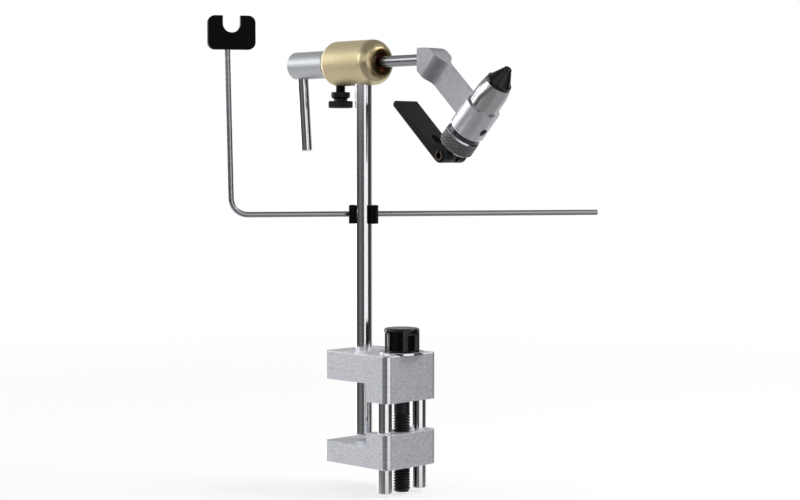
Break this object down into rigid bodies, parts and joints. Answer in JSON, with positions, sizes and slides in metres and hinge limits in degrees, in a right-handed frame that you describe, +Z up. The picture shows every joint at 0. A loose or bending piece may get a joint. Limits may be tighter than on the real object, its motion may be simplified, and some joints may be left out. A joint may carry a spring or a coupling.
{
  "type": "fly tying vise",
  "caption": "Rotary fly tying vise: table clamp, round stem, brass rotary head with crank and drag screw, slanted arm, cam-lever collet jaws and a bobbin cradle on a bent rod.",
  "frame": {"origin": "where the stem's axis meets the table face of the upper clamp jaw", "axes": "+X along the rotary axis towards the hook jaws, +Z up the stem, +Y to the back of the vise"},
  "size_m": [0.1685, 0.1944, 0.2668],
  "materials": {
    "satin_aluminium": "satin",
    "turned_aluminium": "fine turned",
    "polished_steel": "polished",
    "turned_steel": "fine turned",
    "spring_steel": "as drawn",
    "black_oxide_steel": "black oxide",
    "blackened_tool_steel": "polished black",
    "black_anodised_aluminium": "satin black",
    "black_gloss_plastic": "gloss",
    "black_matte_plastic": "matte",
    "white_nylon": "matte",
    "satin_brass": "satin turned",
    "bronze": "sintered"
  },
  "bodies": {
    "clamp": {"upper_jaw": "satin_aluminium", "guide_rods": "polished_steel", "stem_set_screw": "black_oxide_steel"},
    "screw": {"clamp_screw": "black_oxide_steel", "clamp_knob": "black_gloss_plastic", "knob_washer": "polished_steel"},
    "lower_clamp": {"lower_jaw": "satin_aluminium"},
    "post": {"stem": "polished_steel"},
    "clip": {"rod_clip": "black_matte_plastic"},
    "rod": {"cradle_rod": "polished_steel"},
    "cradle": {"bobbin_cradle": "black_matte_plastic"},
    "head": {"housing": "satin_brass", "front_bush": "bronze", "rear_bush": "bronze", "thrust_washer": "white_nylon", "housing_set_screw": "black_oxide_steel", "friction_pad": "white_nylon"},
    "drag": {"drag_screw": "black_oxide_steel"},
    "rotor": {"spindle": "polished_steel", "hub": "turned_aluminium", "hub_set_screw": "black_oxide_steel", "crank_handle": "polished_steel", "jaw_arm": "satin_aluminium", "arm_set_screw": "black_oxide_steel", "collet_sleeve": "turned_steel", "sleeve_set_screw": "black_oxide_steel", "lock_ring": "black_oxide_steel", "return_spring": "spring_steel"},
    "collar": {"adjusting_collar": "turned_steel"},
    "draw": {"drawbar": "black_oxide_steel", "pivot_pin": "spring_steel"},
    "front_jaw": {"jaw_front": "blackened_tool_steel"},
    "rear_jaw": {"jaw_rear": "blackened_tool_steel"},
    "lever": {"cam_lever": "black_anodised_aluminium"}
  },
  "joints": [
    {"name": "screw_turn", "type": "hinge", "parent": "clamp", "child": "screw", "pos_m": [0.03075, 0, 0], "axis": [0, 0, 1], "range_deg": [-490, 2650]},
    {"name": "jaw_travel", "type": "slide", "parent": "clamp", "child": "lower_clamp", "axis": [0, 0, 1], "range_m": [-0.0117, 0.0021]},
    {"name": "stem_height", "type": "slide", "parent": "clamp", "child": "post", "axis": [0, 0, 1], "range_m": [0, 0.032]},
    {"name": "clip_swing", "type": "hinge", "parent": "post", "child": "clip", "pos_m": [0, 0, 0.0931], "axis": [0, 0, 1], "range_deg": [-60, 60]},
    {"name": "rod_slide", "type": "slide", "parent": "clip", "child": "rod", "axis": [0.5446, 0.8387, 0], "range_m": [-0.06, 0.012]},
    {"name": "cradle_swivel", "type": "hinge", "parent": "rod", "child": "cradle", "pos_m": [-0.0482, -0.06007, 0.1941], "axis": [-0.0109, -0.0168, 0.9998], "range_deg": [-90, 90]},
    {"name": "head_swivel", "type": "hinge", "parent": "post", "child": "head", "pos_m": [0, 0, 0.1791], "axis": [0, 0, 1], "range_deg": [-90, 90]},
    {"name": "drag_turn", "type": "hinge", "parent": "head", "child": "drag", "pos_m": [-0.019, 0, 0.155], "axis": [0, 0, 1], "range_deg": [-180, 180]},
    {"name": "spindle_turn", "type": "hinge", "parent": "head", "child": "rotor", "pos_m": [0, 0, 0.1791], "axis": [1, 0, 0], "continuous": true},
    {"name": "collar_turn", "type": "hinge", "parent": "rotor", "child": "collar", "pos_m": [0.07505, 0, 0.13495], "axis": [0.682, 0, 0.7314], "range_deg": [-180, 180]},
    {"name": "lever_swing", "type": "hinge", "parent": "draw", "child": "lever", "pos_m": [0.06721, 0, 0.12654], "axis": [0, -1, 0], "range_deg": [0, 80]},
    {"name": "drawbar_slide", "type": "slide", "parent": "rotor", "child": "draw", "axis": [0.682, 0, 0.7314], "range_m": [0, 0.0013]},
    {"name": "front_jaw_open", "type": "hinge", "parent": "draw", "child": "front_jaw", "pos_m": [0.09483, -0.0025, 0.15616], "axis": [0.7314, 0, -0.682], "range_deg": [0, 1.25]},
    {"name": "rear_jaw_open", "type": "hinge", "parent": "draw", "child": "rear_jaw", "pos_m": [0.09483, 0.0025, 0.15616], "axis": [-0.7314, 0, 0.682], "range_deg": [0, 1.25]}
  ],
  "couplings": [
    {"joint": "screw_turn", "follows": "jaw_travel", "rad_per_m": -3927},
    {"joint": "drawbar_slide", "follows": "lever_swing", "m_per_rad": 0.0009},
    {"joint": "front_jaw_open", "follows": "lever_swing", "ratio": 0.015},
    {"joint": "rear_jaw_open", "follows": "lever_swing", "ratio": 0.015}
  ]
}
